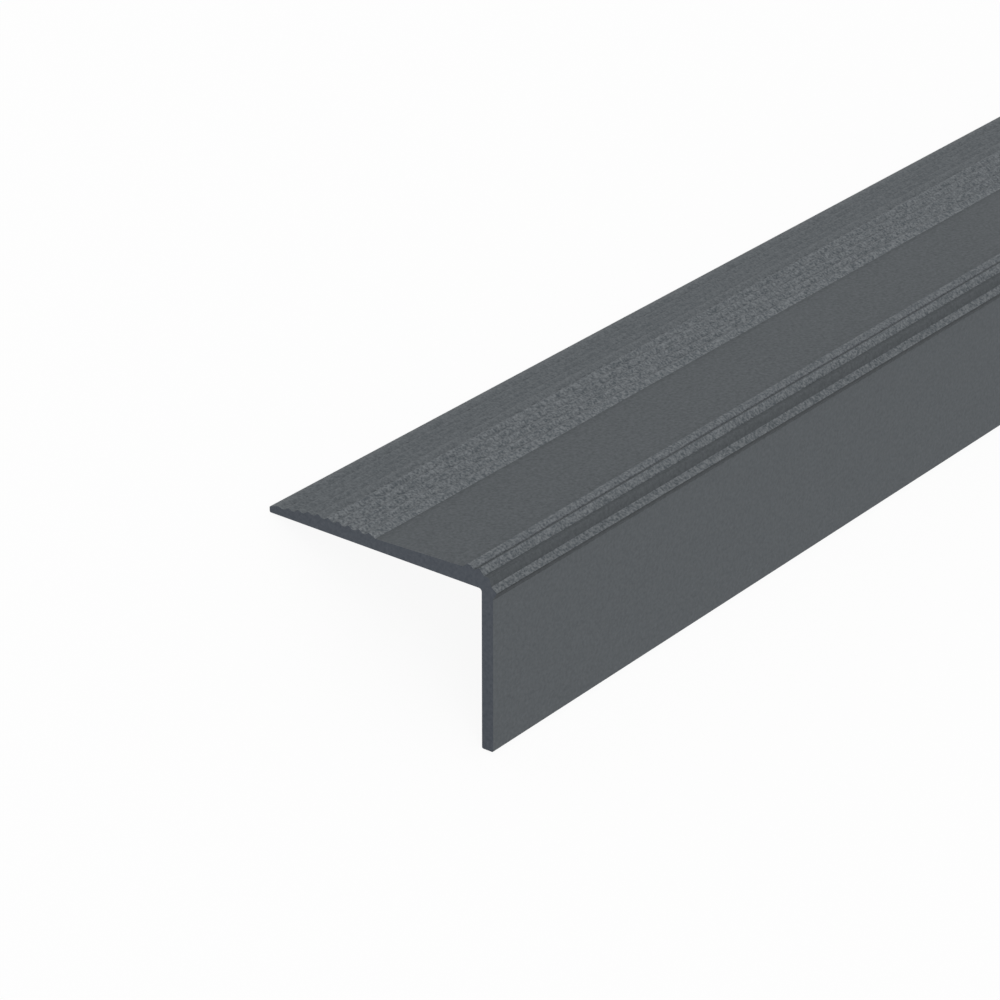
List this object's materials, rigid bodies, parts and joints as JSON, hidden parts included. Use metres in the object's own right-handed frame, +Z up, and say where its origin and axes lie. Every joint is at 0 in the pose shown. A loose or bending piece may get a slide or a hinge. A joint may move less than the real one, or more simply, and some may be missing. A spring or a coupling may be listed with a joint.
{
  "type": "non-slip edging trim",
  "caption": "Straight angle trim for a step's front edge, with a flat riser leg and a tread leg with anti-slip ribs, a smooth band and a ribbed nose, in textured anthracite.",
  "frame": {"origin": "middle of the trim's length and width, on the floor it rests on", "axes": "+X along the trim; +Y from the riser leg towards the tread leg's rear tip; +Z up, with the nose on top and both legs sloping down to the floor"},
  "size_m": [1, 0.0594, 0.0289],
  "materials": {
    "powder_coat": "fine-texture matt anthracite powder coat on extruded aluminium"
  },
  "bodies": {
    "root": {"edging_trim": "powder_coat"}
  },
  "joints": []
}
